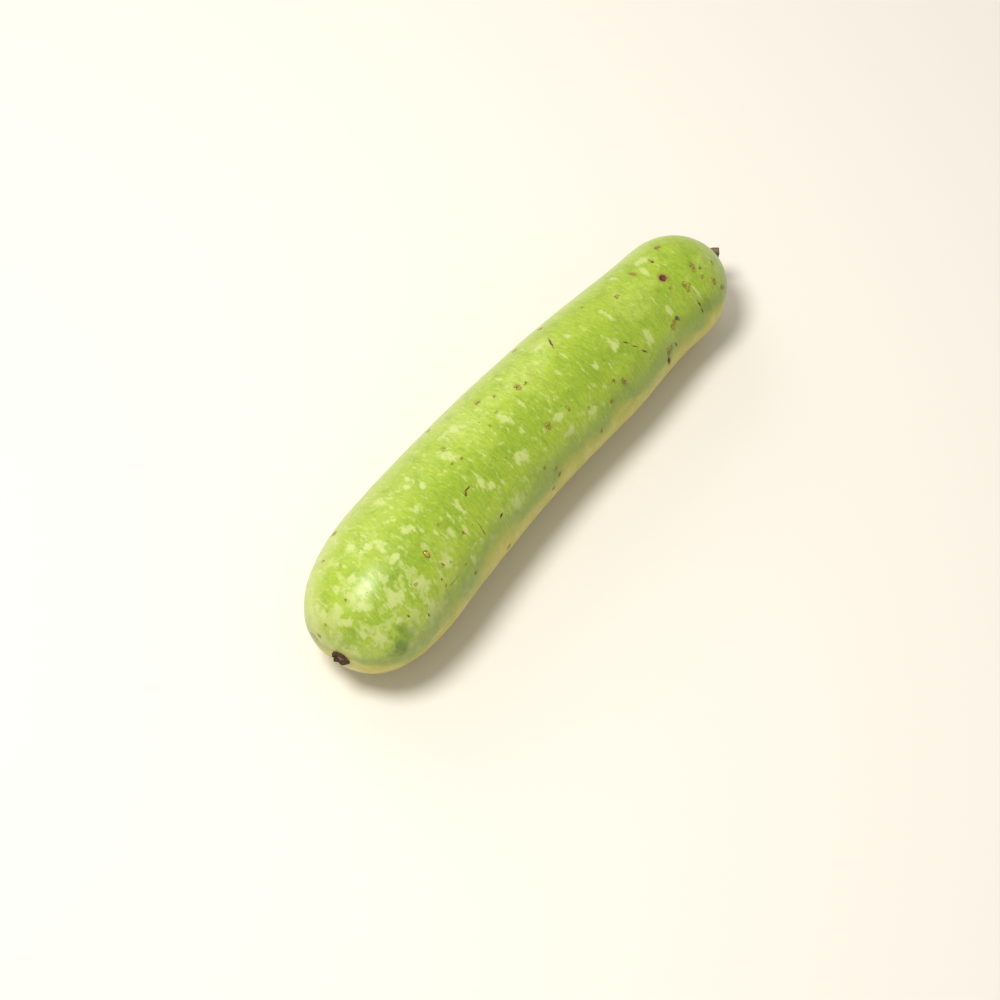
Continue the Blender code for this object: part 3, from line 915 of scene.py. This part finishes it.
def make_stump():
    ends = flat_ends(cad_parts["stem_stub"])[:2]
    (foot_area, foot, into_fruit), (cut_area, cut, out_of_cut) = ends
    foot_radius = math.sqrt(foot_area / math.pi)
    tip_radius = math.sqrt(cut_area / math.pi)
    start = foot + into_fruit * STUMP_SINK * MM
    span = (cut - start).length
    guide = make_guide(start, -into_fruit, cut, out_of_cut, span * 0.38)
    length = span * 1.08
    piece = make_straight_stump(foot_radius, tip_radius * 0.96, length)
    store_numbers(piece, "peg", points_of(piece))
    make_active(piece)
    bend = piece.modifiers.new("bend", "CURVE")
    bend.object = guide
    bend.deform_axis = "POS_X"
    bpy.ops.object.modifier_apply(modifier=bend.name)
    bpy.data.objects.remove(guide)
    smooth_out(piece, 2)
    for size, strength in STUMP_LUMPS:
        push_out(piece, size, strength)
    return piece


stump = make_stump()
print("stump size in mm:", [round(side / MM, 1) for side in stump.dimensions])

# %% [markdown]
# ## The flower scar
# Where the flower dropped off, a corky button is left: a dark ragged ring of dried petal bases round a
# paler, pinkish hollow. A disc is extruded and resized in steps, up to the ring and down into its crater,
# and small clouds then tear its rim. A few flakes of dried petal, each a thin plate, stand up from the ring.
# A step is a share of the height and of the radius. A flake is degrees round, a share of the radius and a
# width in mm.

# %% Model the scar
SCAR_POINTS = 28
SCAR_TALLER = 1.9
SCAR_SINK = 0.85
SCAR_STEPS = (
    (0.2, 1.06), (0.62, 1.02), (0.98, 0.93), (1.0, 0.80),
    (0.80, 0.66), (0.52, 0.56), (0.40, 0.40), (0.44, 0.16),
)
SCAR_LUMPS = ((0.0018, 1.4), (0.0006, 0.6))
FLAKES = (
    (20, 0.86, 2.1), (75, 0.80, 1.6), (128, 0.94, 2.4), (185, 0.84, 1.7), (232, 0.96, 2.3), (300, 0.82, 1.8),
)
FLAKE_THICKNESS = 0.45
FLAKE_HEIGHT = 1.1


def place_piece(piece, place, direction):
    """Stands a piece that was modelled along Z at this place, and applies the move to its mesh."""
    make_active(piece)
    piece.matrix_world = Matrix.Translation(place) @ direction.to_track_quat("Z", "Y").to_matrix().to_4x4()
    bpy.ops.object.transform_apply(location=True, rotation=True, scale=True)


def make_button(radius, height):
    """A corky disc with a raised ring and a crater, standing on the floor at the origin."""
    deselect_all()
    bpy.ops.mesh.primitive_circle_add(vertices=SCAR_POINTS, radius=radius, fill_type="NGON")
    piece = bpy.context.object
    piece.name = piece.data.name = "flower_scar"
    edit_all()
    level, width = 0.0, 1.0
    for share, wanted in SCAR_STEPS:
        lift = (share - level) * height
        bpy.ops.mesh.extrude_region_move(TRANSFORM_OT_translate={"value": (0, 0, lift)})
        stretch = wanted / width
        bpy.ops.transform.resize(value=(stretch, stretch, 1), center_override=(0, 0, share * height))
        level, width = share, wanted
    bpy.ops.mesh.poke()
    end_edit()
    return piece


def make_flake(turn, reach, size, radius, height):
    """A thin plate that stands on the ring. Its upper part is narrower and leans outwards."""
    bpy.ops.mesh.primitive_cube_add(size=1)
    flake = bpy.context.object
    flake.scale = (FLAKE_THICKNESS * MM, size * MM, FLAKE_HEIGHT * MM)
    bpy.ops.object.transform_apply(scale=True)
    edit_all()
    bpy.ops.mesh.subdivide(number_cuts=2)
    bpy.ops.object.mode_set(mode="OBJECT")
    select_points(flake, lambda place: place.z > 0.3 * MM)
    bpy.ops.transform.resize(value=(0.5, 0.6, 1), center_override=(0, 0, 0.4 * MM))
    bpy.ops.transform.translate(value=(0.12 * MM, 0, 0))
    bpy.ops.object.mode_set(mode="OBJECT")
    angle = math.radians(turn)
    spot = Vector((math.cos(angle), math.sin(angle), 0)) * radius * reach
    on_ring = spot + Vector((0, 0, 0.78 * height))
    flake.matrix_world = Matrix.Translation(on_ring) @ Matrix.Rotation(angle, 4, "Z")
    bpy.ops.object.transform_apply(location=True, rotation=True, scale=True)
    return flake


def make_scar():
    """The button and its flakes as one piece, on the base of the CAD scar."""
    (base_area, base, into_fruit), (_, top, _) = flat_ends(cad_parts["blossom_scar"])[:2]
    height = (top - base).dot(-into_fruit) * SCAR_TALLER
    radius = math.sqrt(base_area / math.pi)
    piece = make_button(radius, height)
    smooth_out(piece, 2)
    flakes = [make_flake(*flake, radius, height) for flake in FLAKES]
    for flake in flakes:
        smooth_out(flake, 2)
    deselect_all()
    for part in (*flakes, piece):
        part.select_set(True)
    bpy.context.view_layer.objects.active = piece
    bpy.ops.object.join()
    store_numbers(piece, "button", points_of(piece))
    for size, strength in SCAR_LUMPS:
        push_out(piece, size, strength)
    place_piece(piece, base + into_fruit * SCAR_SINK * MM, -into_fruit)
    return piece


scar = make_scar()
print("scar faces:", len(scar.data.polygons))

# %% [markdown]
# ## The beads of sap
# Two small wounds have wept, and the sap dried into a glassy drop on each. A drop is a ball flattened on
# the skin. The ball starts as an ico sphere, is pressed flat and drawn out a little, and is made uneven.

# %% Model the beads
BEAD_SINK = 0.25
BEAD_LUMPS = (0.0012, 0.35)
BELLY_BEAD = (1.3, 1.9, 1.0)
NECK_BEAD = (0.95, 1.1, 0.85)


def make_bead(name, node_name, half_sizes, tilt):
    """A flattened drop on the skin, where the CAD bead is. The last half size is how far it stands out."""
    low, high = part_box(node_name)
    middle = (low + high) / 2
    _, place, outward, _ = rind.closest_point_on_mesh(middle)
    deselect_all()
    bpy.ops.mesh.primitive_ico_sphere_add(subdivisions=3, radius=1)
    bead = bpy.context.object
    bead.name = bead.data.name = name
    edit_all()
    bpy.ops.transform.resize(value=tuple(half * MM for half in half_sizes), center_override=(0, 0, 0))
    bpy.ops.object.mode_set(mode="OBJECT")
    smooth_out(bead, 1)
    store_numbers(bead, "drop", points_of(bead))
    push_out(bead, *BEAD_LUMPS)
    turned = directions_of(outward, tilt)
    bead.matrix_world = Matrix.Translation(place + outward * BEAD_SINK * MM) @ turned.to_4x4()
    bpy.ops.object.transform_apply(location=True, rotation=True, scale=True)
    return bead


belly_bead = make_bead("sap_drop_belly", "sap_bead_belly", BELLY_BEAD, -8)
neck_bead = make_bead("sap_drop_neck", "sap_bead_neck", NECK_BEAD, 20)
print("beads:", belly_bead.name, neck_bead.name)

# %% [markdown]
# ## Finishes of the small pieces
# Each small piece remembers the shape it had before it was bent or moved, in an attribute. The stump's
# fibres run lengthwise on the straight peg, the scar is pale inside its ring and nearly black on it, and a
# drop of sap has painted shade that darkens it from its top down to its edge, standing in for the dark rim
# that light gives a glassy drop. The fresh drop is amber and the old one brown.

# %% Paint the small pieces
DRY_STEM = (0.130, 0.105, 0.040, 1)
STEM_FIBRE = (0.045, 0.030, 0.012, 1)
STEM_RIB = (0.260, 0.215, 0.090, 1)
STEM_CUT = (0.110, 0.055, 0.028, 1)
SCAR_RING = (0.040, 0.024, 0.013, 1)
SCAR_BARK = (0.140, 0.075, 0.034, 1)
SCAR_HEART = (0.330, 0.165, 0.085, 1)
# SAP_EDGE_SHADE and OLD_SAP_EDGE_SHADE are painted shade: the dark rim of a glassy drop.
SAP_TOP = (0.430, 0.330, 0.012, 1)
SAP_EDGE_SHADE = (0.120, 0.075, 0.004, 1)
OLD_SAP_TOP = (0.110, 0.085, 0.070, 1)
OLD_SAP_EDGE_SHADE = (0.040, 0.025, 0.015, 1)
CUT_BROWN_FROM = 6.48 * MM
CUT_BROWN_TO = 7.128 * MM
SCAR_RADIUS = 4.3 * MM


def make_dry_stem():
    finish = new_finish("dry_stalk", 0.75)
    peg = read_numbers(finish, "peg", "Vector")
    fibres = clouds(finish, peg, (260, 2600, 2600), 4, 1.3, 0.65)
    ribs = clouds(finish, peg, (120, 900, 900), 2, 4.2)
    colour = paint(finish, DRY_STEM, STEM_FIBRE, step(finish, fibres, 0.45, 0.65))
    colour = paint(finish, colour, STEM_RIB, step(finish, ribs, 0.52, 0.66, 0, 0.7))
    reach = node(finish, "ShaderNodeSeparateXYZ", {0: peg}).outputs[0]
    colour = paint(finish, colour, STEM_CUT, step(finish, reach, CUT_BROWN_FROM, CUT_BROWN_TO, 0, 0.8))
    plug_in(finish, Base_Color=colour, Normal=raise_surface(finish, fibres, 0.7, 0.25 * MM))
    return finish


def make_scar_cork(radius):
    finish = new_finish("scar_cork", 0.85)
    button = read_numbers(finish, "button", "Vector")
    flat = node(finish, "ShaderNodeVectorMath", {0: button, 1: (1, 1, 0)}, operation="MULTIPLY").outputs[0]
    out = node(finish, "ShaderNodeVectorMath", {0: flat}, operation="LENGTH").outputs["Value"]
    crumbs = clouds(finish, button, (1600, 1600, 1600), 4, 0.7, 0.7)
    fray = step(finish, crumbs, 0.3, 0.7, -0.25 * radius, 0.25 * radius)
    ragged = calculate(finish, "ADD", out, fray)
    colour = paint(finish, SCAR_RING, SCAR_BARK, step(finish, crumbs, 0.46, 0.66))
    colour = paint(finish, colour, SCAR_HEART, step(finish, ragged, 0.46 * radius, 0.26 * radius, 0, 0.8))
    plug_in(finish, Base_Color=colour, Normal=raise_surface(finish, crumbs, 0.9, 0.3 * MM))
    return finish


def make_sap(name, top_colour, edge_shade_colour, half_height):
    finish = new_finish(name, 0.12)
    drop = read_numbers(finish, "drop", "Vector")
    height = node(finish, "ShaderNodeSeparateXYZ", {0: drop}).outputs[2]
    swirl = clouds(finish, drop, (900, 900, 900), 2, 2.4)
    wave = step(finish, swirl, 0.3, 0.7, -0.3 * half_height, 0.3 * half_height)
    level = calculate(finish, "ADD", height, wave)
    # Painted shade: the drop goes from its top colour down to a darker edge colour.
    near_top = step(finish, level, 0.35 * half_height, 0.9 * half_height)
    colour = paint(finish, edge_shade_colour, top_colour, near_top)
    shader = finish.node_tree.nodes["Principled BSDF"]
    shader.inputs["Coat Weight"].default_value = 0.6
    shader.inputs["Coat Roughness"].default_value = 0.06
    plug_in(finish, Base_Color=colour)
    return finish


dress(stump, make_dry_stem(), "dried_stem", "stem_stub")
dress(scar, make_scar_cork(SCAR_RADIUS), "scar_cork", "blossom_scar")
fresh_sap = make_sap("fresh_sap", SAP_TOP, SAP_EDGE_SHADE, BELLY_BEAD[2] * MM)
dress(belly_bead, fresh_sap, "dried_sap", "sap_bead_belly")
old_sap = make_sap("old_sap", OLD_SAP_TOP, OLD_SAP_EDGE_SHADE, NECK_BEAD[2] * MM)
dress(neck_bead, old_sap, "dried_sap", "sap_bead_neck")
print("pieces:", ", ".join(piece.name for piece in (rind, stump, scar, belly_bead, neck_bead)))
